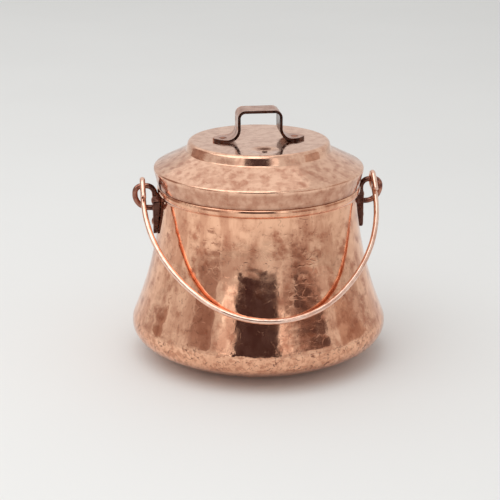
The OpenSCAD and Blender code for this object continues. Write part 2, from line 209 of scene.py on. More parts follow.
@dataclass(frozen=True)
class Copper:
    """A copper finish: clean metal, tarnish that lies in patches, and the marks of work.

    Attributes:
        name: the material's name.
        clean: colour of the polished metal.
        tarnish: colour of the browner patches.
        soot_and_shade: colour of the darkest spots, in the hollows, and of the painted shade.
        patch: size of the tarnished patches.
        tarnished: share of the surface that the patches take, 0 to 1.
        stained: strength of the broad stains that run the way the piece was worked, 0 to 1.
        spotted: strength of the dark spots, 0 to 1.
        polish: roughness of the clean metal.
        dull: roughness of the tarnished metal.
        mark_depth: depth of the finest marks.
        hollow_dark: how far the bottoms of the blows are tarnished, 0 to 1.
        seam_rise: height of the seams between the blows, in depths of the finest marks.
        bruised: strength of the dark crescents that hard blows left here and there, 0 to 1.
        grain: which way the finest marks run.

    The values in capitals are the sizes of the marks, which all copper pieces share.
    """

    name: str
    clean: Colour
    tarnish: Colour
    soot_and_shade: Colour
    patch: float = 14 * MM
    tarnished: float = 0.4
    stained: float = 0.4
    spotted: float = 0.3
    polish: float = 0.12
    dull: float = 0.3
    mark_depth: float = 0.012 * MM
    hollow_dark: float = 0.5
    seam_rise: float = 0.0
    bruised: float = 0.0
    grain: Grain = Grain.WIPED

    MOTTLE = 4.5 * MM
    CRESCENT = 6.5 * MM
    CRESCENT_BREAK = 4 * MM
    STRUCK_AREA = 42 * MM
    SCRATCH = 5.5 * MM
    WAVE = 2.6 * MM
    SEAM = 9 * MM
    SEAM_WIDTH = 0.07
    SEAM_AREA = 12 * MM
    DIMPLE = 2.4 * MM
    DIMPLE_RISE = 5.0

    def material(self) -> bpy.types.Material:
        """Builds the material.

        Returns:
            The material. It reads three attributes. hollow is 1 at the bottom of a blow, and is
            also raised on the lid's skirt as painted shade. peened is 1 where small blows lie
            close. painted_shade is 1 where shade is painted in the darkest colour.
        """
        g = Graph(self.name)
        place = g.object_place()
        hollow = g.attribute("hollow")
        clouds = g.noise(place, self.patch, 5.0, 0.6)
        reach = 0.5 + 0.22 * (0.5 - self.tarnished)
        patches = g.ramp(clouds, reach - 0.1, reach + 0.14)
        patches = g.math("MULTIPLY", patches, g.ramp(hollow, 0.1, 0.9, 0.45, 1.0))
        peened = g.attribute("peened")
        sunk = g.math("MULTIPLY", g.ramp(hollow, 0.45, 0.95),
                      g.math("MAXIMUM", peened, g.ramp(clouds, 0.4, 0.55, 0.45, 1.0)))
        patches = g.math("MAXIMUM", patches, g.math("MULTIPLY", sunk, self.hollow_dark))
        calm = g.ramp(peened, 0.0, 1.0, 1.0, 0.35)
        metal = g.blend(g.math("MULTIPLY", patches, calm), self.clean, self.tarnish)
        metal = g.blend(g.math("MULTIPLY", self.streaks(g, place), calm), metal, self.tarnish)
        mottles = g.ramp(g.noise(place, self.MOTTLE, 4.0, 0.7), 0.48, 0.58, 0.0, 0.65)
        metal = g.blend(g.math("MULTIPLY", mottles, peened), metal, self.tarnish)
        metal = g.blend(self.crescents(g, place, peened), metal, self.soot_and_shade)
        specks = g.ramp(g.noise(place, self.patch * 0.13, 4.0, 0.7), 0.54, 0.7, 0.0, self.spotted)
        specks = g.math("MULTIPLY", specks, g.ramp(clouds, 0.42, 0.6))
        metal = g.blend(specks, metal, self.soot_and_shade)
        # Painted shade: the metal is darkened to the darkest colour wherever the painted_shade
        # attribute is set.
        metal = g.blend(g.attribute("painted_shade"), metal, self.soot_and_shade)
        rough = g.ramp(clouds, 0.35, 0.7, self.polish, self.dull)
        fine = g.ramp(g.noise(place, self.patch * 0.09, 3.0), 0.3, 0.7, -0.02, 0.03)
        rough = g.math("ADD", rough, fine)
        rough = g.math("ADD", rough, g.math("MULTIPLY", specks, 0.3))
        return g.metal(metal, rough, self.mark_depth, self.marks(g, place))

    def streaks(self, g: Graph, place: Socket) -> Socket:
        """Builds the share of the broad stains, which run the way the piece was worked.

        Args:
            g: the material's graph.
            place: the point's place on the object.

        Returns:
            The share, 0 where there is no stain.
        """
        stretch = {Grain.BRUSHED_ROUND: (1, 1, 2.5), Grain.DRAWN_UP: (1, 1, 0.22),
                   Grain.WIPED: (1, 1, 1)}[self.grain]
        broad = g.noise(g.stretched(place, stretch), self.patch * 1.5, 4.0, 0.62)
        return g.ramp(broad, 0.45, 0.6, 0.0, self.stained)

    def crescents(self, g: Graph, place: Socket, peened: Socket) -> Socket:
        """Builds the share of the thin curved marks that hard blows left.

        Args:
            g: the material's graph.
            place: the point's place on the object.
            peened: 1 where small blows lie close.

        Returns:
            The share, 0 where there is no mark.
        """
        curve = g.math("SUBTRACT", g.noise(place, self.CRESCENT, 1.5), 0.5)
        line = g.ramp(g.math("ABSOLUTE", curve, 0.0), 0.006, 0.028, 1.0, 0.0)
        some = g.ramp(g.noise(place, self.CRESCENT_BREAK, 2.0), 0.48, 0.56, 0.0, 0.9)
        struck = g.ramp(g.noise(place, self.STRUCK_AREA, 1.0), 0.5, 0.6, 0.0, self.bruised)
        return g.math("MULTIPLY", g.math("MULTIPLY", line, some),
                      g.math("MAXIMUM", peened, struck))

    def seams(self, g: Graph, place: Socket) -> Socket:
        """Builds the thin lines where neighbouring blows meet.

        Args:
            g: the material's graph.
            place: the point's place on the object.

        Returns:
            1 on the lines, 0 between them.
        """
        warp = g.add("TexNoise", Vector=place, Scale=1 / (self.SEAM * 0.8))
        bend = g.add("VectorMath", {"operation": "MULTIPLY_ADD"},
                     {0: warp.outputs["Color"], 1: (self.SEAM * 0.7,) * 3, 2: place})
        cells = g.add("TexVoronoi", {"feature": "DISTANCE_TO_EDGE"},
                      Vector=bend.outputs["Vector"], Scale=1 / self.SEAM)
        return g.ramp(cells.outputs["Distance"], 0.0, self.SEAM_WIDTH, 1.0, 0.0)

    def marks(self, g: Graph, place: Socket) -> Socket:
        """Builds the height of the finest marks.

        Args:
            g: the material's graph.
            place: the point's place on the object.

        Returns:
            A height, about 0 to 1, of soft waves with scratches over them, of the seams between
            the blows, and of small dimples where the piece is peened.
        """
        run = g.stretched(place, (1, 1, 9 if self.grain is Grain.BRUSHED_ROUND else 1))
        scratches = g.noise(run, self.SCRATCH, 6.0, 0.75)
        waves = g.noise(place, self.WAVE, 2.0)
        height = g.math("ADD", g.math("MULTIPLY", scratches, 0.5), waves)
        some = g.ramp(g.noise(place, self.SEAM_AREA, 2.0), 0.45, 0.6, 0.0, self.seam_rise)
        height = g.math("ADD", height, g.math("MULTIPLY", self.seams(g, place), some))
        dimple = g.add("TexVoronoi", {"feature": "SMOOTH_F1"}, Vector=place,
                       Scale=1 / self.DIMPLE, Smoothness=0.25)
        deep = g.math("MULTIPLY", g.attribute("peened"), self.DIMPLE_RISE)
        return g.math("ADD", height, g.math("MULTIPLY", dimple.outputs["Distance"], deep))


@dataclass(frozen=True)
class Tin:
    """The wiped tin lining: grey metal with the streaks of the wiping cloth.

    Attributes:
        name: the material's name.
        bright: colour of the clean tin.
        worn: colour of the duller streaks.
        streak: width of the streaks.
        cloud: size of the duller patches.
        mark_depth: depth of the cloth's marks.
    """

    name: str
    bright: Colour = rgb(0.62, 0.60, 0.57)
    worn: Colour = rgb(0.36, 0.33, 0.30)
    streak: float = 9 * MM
    cloud: float = 6 * MM
    mark_depth: float = 0.03 * MM

    def material(self) -> bpy.types.Material:
        """Builds the material.

        Returns:
            The material.
        """
        g = Graph(self.name)
        place = g.object_place()
        streaks = g.noise(g.stretched(place, (1, 1, 0.25)), self.streak, 5.0, 0.65)
        colour = g.blend(g.ramp(streaks, 0.4, 0.66), self.bright, self.worn)
        rough = g.ramp(g.noise(place, self.cloud), 0.3, 0.7, 0.28, 0.5)
        return g.metal(colour, rough, self.mark_depth, streaks)


@dataclass(frozen=True)
class Paint:
    """A plain dull finish for the studio: the floor and the cards that the metal mirrors.

    Attributes:
        name: the material's name.
        colour: the paint's colour.
        cloud: size of its faint grey clouds.
    """

    name: str
    colour: Colour
    cloud: float = 0.6

    def material(self) -> bpy.types.Material:
        """Builds the material.

        Returns:
            The material.
        """
        g = Graph(self.name)
        faint = g.ramp(g.noise(g.object_place(), self.cloud), 0.3, 0.7, 0.0, 0.05)
        colour = g.blend(faint, self.colour, rgb(0.5, 0.5, 0.5))
        return g.finish(g.add("BsdfPrincipled", Base_Color=colour, Roughness=0.9,
                              Specular_IOR_Level=0.1))


BODY_COPPER = Copper("hammered_body_copper", rgb(0.94, 0.54, 0.355), rgb(0.53, 0.22, 0.13),
                     rgb(0.20, 0.075, 0.05), patch=11 * MM, tarnished=0.35, stained=0.55,
                     spotted=0.6, polish=0.05, dull=0.16, hollow_dark=0.4, seam_rise=1.6,
                     bruised=0.5, grain=Grain.DRAWN_UP)
LID_COPPER = Copper("hammered_lid_copper", rgb(0.92, 0.57, 0.405), rgb(0.57, 0.27, 0.175),
                    rgb(0.06, 0.025, 0.018), patch=7 * MM, tarnished=0.35, stained=0.35,
                    spotted=0.45, polish=0.08, dull=0.22, hollow_dark=0.7,
                    grain=Grain.BRUSHED_ROUND)
FORGED_COPPER = Copper("forged_ear_copper", rgb(0.50, 0.23, 0.16), rgb(0.15, 0.05, 0.04),
                       rgb(0.03, 0.012, 0.01), patch=5 * MM, tarnished=0.7, spotted=0.6,
                       polish=0.1, dull=0.22)
STRAP_COPPER = Copper("strap_copper", rgb(0.66, 0.35, 0.24), rgb(0.37, 0.17, 0.11),
                      rgb(0.035, 0.014, 0.011), patch=7 * MM, tarnished=0.5, spotted=0.4,
                      polish=0.16, dull=0.3)
BAIL_COPPER = Copper("bright_bail_copper", rgb(0.93, 0.66, 0.54), rgb(0.74, 0.42, 0.31),
                     rgb(0.40, 0.19, 0.13), patch=8 * MM, tarnished=0.3, spotted=0.35,
                     polish=0.12, dull=0.24)
RIVET_COPPER = Copper("rivet_copper", rgb(0.40, 0.18, 0.12), rgb(0.22, 0.09, 0.06),
                      rgb(0.06, 0.03, 0.02), patch=3 * MM, tarnished=0.5, spotted=0.5,
                      polish=0.18, dull=0.32)
MARKS_AND_SHADE = ("hollow", "peened", "painted_shade")


# Outlines and meshes


@dataclass(frozen=True)
class Arc:
    """An arc of an outline, in the plane of radius and height.

    Attributes:
        centre: its centre.
        radius: its radius; a negative one turns the points half round.
        start: angle of its first point, in degrees.
        end: angle of its last point, in degrees.
    """

    centre: Vector
    radius: float
    start: float
    end: float

    def points(self, spacing: float) -> Outline:
        """Divides the arc.

        Args:
            spacing: the longest distance between neighbouring points.

        Returns:
            The points.
        """
        turn = self.end - self.start
        count = max(3, math.ceil(abs(math.radians(turn) * self.radius) / spacing))
        return [self.centre + self.radius * heading(self.start + turn * i / count)
                for i in range(count + 1)]


def heading(degrees: float) -> Vector:
    """Returns the flat unit vector at an angle in degrees."""
    angle = math.radians(degrees)
    return Vector((math.cos(angle), math.sin(angle)))


def corner(v: Vector, n0: float, n1: float, r: float, depth: float, out: bool) -> Arc:
    """Rounds the corner of a sheet.

    Args:
        v: the sharp corner on the sheet's outer face.
        n0: angle of the outward normal before the corner, in degrees.
        n1: angle of the outward normal after it.
        r: radius on the outer face.
        depth: how far under the outer face the arc lies.
        out: whether the corner stands out; else it is hollow.

    Returns:
        The arc.
    """
    side = 1 if out else -1
    mid = (n0 + n1) / 2
    centre = v - side * r / math.cos(math.radians((n1 - n0) / 2)) * heading(mid)
    return Arc(centre, side * r - depth, n0, n1)


def evenly(points: Outline, spacing: float) -> Outline:
    """Adds points to the long stretches of an outline.

    Args:
        points: the outline.
        spacing: the longest stretch that stays whole.

    Returns:
        The finer outline, without points that coincide.
    """
    out = [points[0]]
    for point in points[1:]:
        run = point - out[-1]
        if run.length < MERGE_GAP:
            continue
        start = out[-1]
        count = max(1, math.ceil(run.length / spacing))
        out.extend(start + run * i / count for i in range(1, count + 1))
    return out


def marked_mesh(source: bpy.types.Mesh | None = None) -> BMesh:
    """Starts a mesh with the attributes that the copper finishes read.

    Args:
        source: the mesh that it starts from, or nothing for an empty one.

    Returns:
        The mesh.
    """
    bm = bmesh.new()
    if source:
        bm.from_mesh(source)
    for mark in MARKS_AND_SHADE:
        bm.verts.layers.float.new(mark)
    return bm


def store(bm: BMesh, mesh: bpy.types.Mesh) -> None:
    """Puts a finished bmesh in a mesh, with smooth faces, and frees it.

    Args:
        bm: the bmesh.
        mesh: the mesh that takes its shape.
    """
    bm.to_mesh(mesh)
    bm.free()
    mesh.polygons.foreach_set("use_smooth", [True] * len(mesh.polygons))


def new_mesh_object(name: str, bm: BMesh,
                    *finishes: bpy.types.Material) -> bpy.types.Object:
    """Turns a finished bmesh into an object, and frees it.

    Args:
        name: the object's name.
        bm: the mesh, in the row's frame.
        *finishes: the materials of its faces, by their numbers.

    Returns:
        The object, at the origin.
    """
    mesh = bpy.data.meshes.new(name)
    store(bm, mesh)
    for finish in finishes:
        mesh.materials.append(finish)
    obj = bpy.data.objects.new(name, mesh)
    bpy.context.scene.collection.objects.link(obj)
    return obj


def spin_outline(bm: BMesh, outline: Outline, steps: int, finish: int) -> None:
    """Turns an outline of radius and height round the pot's axis.

    Args:
        bm: the mesh that it is added to.
        outline: the outline's points.
        steps: how many steps a full turn has.
        finish: number of the finish that the new faces get.
    """
    verts = [bm.verts.new((p.x, 0, p.y)) for p in outline]
    edges = [bm.edges.new(pair) for pair in zip(verts, verts[1:])]
    bm.faces.ensure_lookup_table()
    known = len(bm.faces)
    bmesh.ops.spin(bm, geom=verts + edges, cent=(0, 0, 0), axis=UP, angle=math.tau, steps=steps,
                   use_merge=True, use_duplicate=False)
    bm.faces.ensure_lookup_table()
    for face in bm.faces[known:]:
        face.material_index = finish


def close_shell(bm: BMesh) -> list[Vertex]:
    """Merges the seams of spun faces and turns the normals outward.

    Args:
        bm: the mesh, whose outer faces have finish 0.

    Returns:
        The vertices that touch outer faces alone.
    """
    bmesh.ops.remove_doubles(bm, verts=bm.verts, dist=MERGE_GAP)
    bmesh.ops.recalc_face_normals(bm, faces=bm.faces)
    return [v for v in bm.verts if all(f.material_index == 0 for f in v.link_faces)]


@dataclass
class Hammer:
    """A planishing hammer: overlapping blows whose hollows lie under the sheet's face.

    Attributes:
        pitch: distance between neighbouring blows.
        depth: depth of the deepest hollow under the ridges round it.
        tilt: how far a blow's face leans, as a slope.
        seed: number that fixes the blows' places.
        uneven: how far the blows stray from an even pattern, as a share of the pitch.
        crisp: how flat a blow's face is: 2 for a bowl, 5 for a flat face with a steep edge.
        blows: each blow's place, force and lean, in the order that they fell.

    A blow's hollow reaches REACH pitches from its place. Of the NEAR blows round a point the
    deepest counts most, the more so the larger SHARPNESS is. The weakest blow has the force
    WEAKEST and stays up to SHALLOW higher than the hardest.
    """

    pitch: float
    depth: float
    tilt: float = 0.012
    seed: int = 1
    uneven: float = 0.42
    crisp: float = 3.2
    blows: list[tuple[Vector, float, Vector]] = field(default_factory=list)

    REACH = 0.62
    NEAR = 5
    SHARPNESS = 13.0
    WEAKEST = 0.45
    SHALLOW = 0.7

    def strike_round(self, outline: Outline) -> None:
        """Places blows in rings round the pot's axis, a ring at each pitch along an outline.

        Args:
            outline: points of radius and height that the rings start from.
        """
        pick = random.Random(self.seed)
        gone = self.pitch
        for before, point in zip(outline, outline[1:]):
            gone += (point - before).length
            if gone < self.pitch * 0.9 or point.x < self.pitch:
                continue
            gone = 0.0
            count = round(math.tau * point.x / self.pitch)
            phase = pick.random() * math.tau
            for i in range(count):
                stray = (pick.random() - 0.5) * 2 * self.uneven
                angle = phase + math.tau * (i + stray) / count
                lift = (pick.random() - 0.5) * 2 * self.uneven * self.pitch
                place = Vector((point.x * math.cos(angle), point.x * math.sin(angle),
                                point.y + lift))
                self.add_blow(pick, place)

    def work_all_over(self, bm: BMesh, share: float, choice: int, stray: float,
                      force: float = 0.9) -> None:
        """Strikes a whole piece at places that are chosen from its vertices.

        Args:
            bm: the mesh.
            share: the share of its vertices that get a blow.
            choice: number that fixes which they are.
            stray: how far a blow falls from its vertex.
            force: how hard the blows are, up to 1.
        """
        chosen = random.Random(choice)
        pick = random.Random(self.seed)
        for place in [v.co.copy() for v in bm.verts if chosen.random() < share]:
            shift = Vector([(pick.random() - 0.5) * 2 * stray for _ in range(3)])
            self.add_blow(pick, place + shift)
        self.work(bm, bm.verts[:], lambda co: force)

    def add_blow(self, pick: random.Random, place: Vector) -> None:
        """Keeps a blow of random force and lean at a place."""
        lean = Vector([pick.gauss(0, self.tilt) for _ in range(3)])
        self.blows.append((place, pick.uniform(self.WEAKEST, 1.0), lean))

    def work(self, bm: BMesh, verts: list[Vertex],
             force: Callable[[Vector], float]) -> None:
        """Sinks the faces round some vertices under the blows and keeps how deep each lies.

        Args:
            bm: the mesh. Its attribute hollow is set, 1 at the bottom of a blow.
            verts: the vertices that may move.
            force: a function of a place that gives 0 where no blow falls, up to 1.
        """
        tree = KDTree(len(self.blows))
        for i, (place, _, _) in enumerate(self.blows):
            tree.insert(place, i)
        tree.balance()
        hollow = bm.verts.layers.float["hollow"]
        bm.normal_update()
        moves = []
        for v in verts:
            share = force(v.co)
            if share <= 0:
                continue
            sunk = share * (1 - self.rise(tree, v.co))
            v[hollow] = max(v[hollow], sunk)
            moves.append((v, v.normal * -sunk * self.depth))
        for v, move in moves:
            v.co += move

    def rise(self, tree: KDTree, point: Vector) -> float:
        """Measures how high a point stays after the blows round it.

        Args:
            tree: the blows' places.
            point: the point.

        Returns:
            0 at the bottom of the hardest blow, 1 on the ridges.
        """
        total = 0.0
        for place, i, distance in tree.find_n(point, self.NEAR):
            _, force, lean = self.blows[i]
            bowl = (distance / (self.pitch * self.REACH)) ** self.crisp
            face = self.SHALLOW * (1 - force) + bowl + lean.dot(point - place) / self.depth
            total += math.exp(-self.SHARPNESS * face)
        return min(1.0, max(0.0, -math.log(max(total, TINY)) / self.SHARPNESS))


# The pieces


@dataclass
class PotForm:
    """The sizes that the pieces share, as the construction has them.

    Attributes:
        body_wall: thickness of the body's sheet.
        base_flat_r: radius of the small flat under the base.
        widest_r: radius of the shoulder where it is widest.
        widest_z: height of that place.
        shoulder_round: radius of the shoulder's bend.
        waist_lean: lean of the flank where it meets the bead, in degrees.
        neck_r: radius of the straight neck.
        seat_z: height of the seat that the lid's skirt stands on.
        neck_rise: height of the neck above the seat.
        bead_out: how far the bead stands out past the skirt's lower edge.
        bead_round: radius of the bead's section.
        lid_wall: thickness of the lid's sheet.
        lid_clear: gap between the neck and the skirt's lower edge.
        skirt_lean: lean of the lid's skirt, in degrees.
        ridge_h: height of the lid's ridge above the seat.
        ridge_round: radius of the ridge.
        brim_slope: slope of the brim, in degrees.
        riser_r: radius of the riser's foot.
        riser_h: the riser's height.
        riser_lean: its lean, in degrees.
        riser_foot_round: radius of the bend at its foot.
        plateau_round: radius of the bend at the plateau's edge.
        hinge_rise: height of the bail's axis above the seat.
        tail_len: from the bail's axis down to the end of an ear's tail.
        tail_t: thickness of a tail.
        eye_out: from a tail's outer face to the middle of the bail's eye.
    """

    body_wall: float = 1.5 * MM
    base_flat_r: float = 52 * MM
    widest_r: float = 110.8 * MM
    widest_z: float = 30 * MM
    shoulder_round: float = 17 * MM
    waist_lean: float = 3.0
    neck_r: float = 84.5 * MM
    seat_z: float = 150.7 * MM
    neck_rise: float = 12.3 * MM
    bead_out: float = 0.9 * MM
    bead_round: float = 5 * MM
    lid_wall: float = 1.3 * MM
    lid_clear: float = 0.5 * MM
    skirt_lean: float = 13.0
    ridge_h: float = 16.3 * MM
    ridge_round: float = 2.2 * MM
    brim_slope: float = 26.6
    riser_r: float = 62.3 * MM
    riser_h: float = 8.4 * MM
    riser_lean: float = 16.0
    riser_foot_round: float = 1.6 * MM
    plateau_round: float = 3.4 * MM
    hinge_rise: float = 0.9 * MM
    tail_len: float = 42.5 * MM
    tail_t: float = 3.2 * MM
    eye_out: float = 8.2 * MM

    def __post_init__(self) -> None:
        """Works out the places that follow from the driving sizes."""
        self.skirt_low_r = (self.neck_r + self.lid_clear
                            + self.lid_wall / math.cos(math.radians(self.skirt_lean)))
        self.rim_z = self.seat_z + self.neck_rise
        crest_r = self.skirt_low_r + self.bead_out
        drop = math.sqrt(self.bead_round ** 2 - (self.bead_round - self.bead_out) ** 2)
        self.bead_c = Vector((crest_r - self.bead_round, self.seat_z - drop))
        self.bead_low_turn = math.degrees(math.acos((self.neck_r - self.bead_c.x)
                                                    / self.bead_round))
        waist_top = self.bead_c + self.bead_round * heading(-self.bead_low_turn)
        self.shoulder_c = Vector((self.widest_r - self.shoulder_round, self.widest_z))
        waist_out = heading(self.waist_lean)
        up = waist_top - self.shoulder_c
        self.hollow_round = ((up.length_squared - self.shoulder_round ** 2)
                             / (2 * (self.shoulder_round - up.dot(waist_out))))
        self.hollow_c = waist_top + self.hollow_round * waist_out
        to_hollow = self.hollow_c - self.shoulder_c
        self.flank_lean = math.degrees(math.atan2(to_hollow.y, to_hollow.x))
        run = self.shoulder_c.x - self.base_flat_r
        self.base_round = ((run ** 2 + self.widest_z ** 2 - self.shoulder_round ** 2)
                           / (2 * (self.widest_z - self.shoulder_round)))
        self.base_turn = math.degrees(math.asin(run / (self.base_round - self.shoulder_round)))
        self.ridge_v = Vector((self.skirt_low_r + self.ridge_h
                               * math.tan(math.radians(self.skirt_lean)),
                               self.seat_z + self.ridge_h))
        self.riser_v = Vector((self.riser_r, self.ridge_v.y + (self.ridge_v.x - self.riser_r)
                               * math.tan(math.radians(self.brim_slope))))
        self.plateau_z = self.riser_v.y + self.riser_h
        self.plateau_v = Vector((self.riser_r - self.riser_h
                                 * math.tan(math.radians(self.riser_lean)), self.plateau_z))
        self.hinge_z = self.seat_z + self.hinge_rise
        self.tail_low_z = self.hinge_z - self.tail_len
        self.tail_face_r = max(crest_r, self.flank_r(self.tail_low_z)) + self.tail_t
        self.eye_r = self.tail_face_r + self.eye_out

    def flank_r(self, z: float) -> float:
        """Returns the radius of the flank's outer face at a height."""
        return self.hollow_c.x - math.sqrt(self.hollow_round ** 2 - (z - self.hollow_c.y) ** 2)

@dataclass
class PotBody:
    """The raised body: base, shoulder, hollow flank, bead and neck, tinned inside.

    Attributes:
        form: the shared sizes.
        fine: longest stretch of the outline where the hammer's marks show.
        plain: longest stretch elsewhere.
        arc_step: longest stretch of an arc, as a share of its radius.
        steps: steps of a full turn.
    """

    form: PotForm
    fine: float = 1.4 * MM
    plain: float = 6 * MM
    arc_step: float = 0.16
    steps: int = 420

    def face(self, depth: float, spacing: float) -> Outline:
        """Draws the body's face from the neck's top down to the axis.

        Args:
            depth: how far under the outer face it lies.
            spacing: distance between its points.

        Returns:
            The points.
        """
        f = self.form
        bead_top = math.degrees(math.asin((f.seat_z - depth - f.bead_c.y)
                                          / (f.bead_round - depth)))
        arcs = [Arc(f.bead_c, f.bead_round - depth, bead_top, -f.bead_low_turn),
                Arc(f.hollow_c, -f.hollow_round - depth, f.waist_lean, f.flank_lean),
                Arc(f.shoulder_c, f.shoulder_round - depth, f.flank_lean, f.base_turn - 90),
                Arc(Vector((f.base_flat_r, f.base_round)), f.base_round - depth,
                    f.base_turn - 90, -90)]
        points = [Vector((f.neck_r - depth, f.rim_z - f.body_wall / 2)),
                  Vector((f.neck_r - depth, f.seat_z - depth))]
        for arc in arcs:
            points += arc.points(min(spacing, abs(arc.radius) * self.arc_step))
        return evenly(points, spacing) + evenly([Vector((f.base_flat_r * 0.9, depth)),
                                                 Vector((0, depth))], self.plain)

    def build(self) -> bpy.types.Object:
        """Builds the body.

        Returns:
            The body's object.
        """
        f = self.form
        lip = Arc(Vector((f.neck_r - f.body_wall / 2, f.rim_z - f.body_wall / 2)),
                  f.body_wall / 2, 180, 0).points(0.3 * MM)
        outer = self.face(0.0, self.fine)
        bm = marked_mesh()
        spin_outline(bm, self.face(f.body_wall, self.plain), self.steps, 1)
        spin_outline(bm, lip + outer[1:], self.steps, 0)
        skin = close_shell(bm)
        self.hammer(bm, skin, outer)
        pot = new_mesh_object("hammered_pot_body", bm, BODY_COPPER.material(),
                              Tin("tin_in_body").material())
        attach(pot, "pot")
        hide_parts("pot_body")
        return pot

    def hammer(self, bm: BMesh, skin: list[Vertex],
               outer: Outline) -> None:
        """Planishes the flank with broad blows and the shoulder with small ones.

        Args:
            bm: the body's mesh.
            skin: the vertices of its outer face.
            outer: the outline of its outer face.
        """
        f = self.form
        top = f.bead_c.y - f.bead_round
        flank = Hammer(9 * MM, 0.055 * MM, tilt=0.005, seed=11, crisp=5.0)
        flank.strike_round([p for p in outer if f.widest_z < p.y < top])
        wide = f.widest_z
        flank.work(bm, skin, lambda co: smooth(top, top - 12 * MM, co.z)
                   * smooth(wide - 4 * MM, wide + 10 * MM, co.z))
        peen = Hammer(4.2 * MM, 0.17 * MM, tilt=0.03, seed=23)
        peen.strike_round([p for p in outer if p.y < wide + 8 * MM and p.x > f.base_flat_r])
        peened = bm.verts.layers.float["peened"]
        for v in skin:
            v[peened] = (smooth(wide + 12 * MM, wide + 1 * MM, v.co.z)
                         * smooth(0.5 * MM, 5 * MM, v.co.z))
        peen.work(bm, skin, lambda co: smooth(wide + 14 * MM, wide + 2 * MM, co.z)
                  * smooth(0.5 * MM, 5 * MM, co.z))


def smooth(low: float, high: float, value: float) -> float:
    """Returns a share that goes smoothly from 0 at low to 1 at high, either way round."""
    t = min(1.0, max(0.0, (value - low) / (high - low)))
    return t * t * (3 - 2 * t)


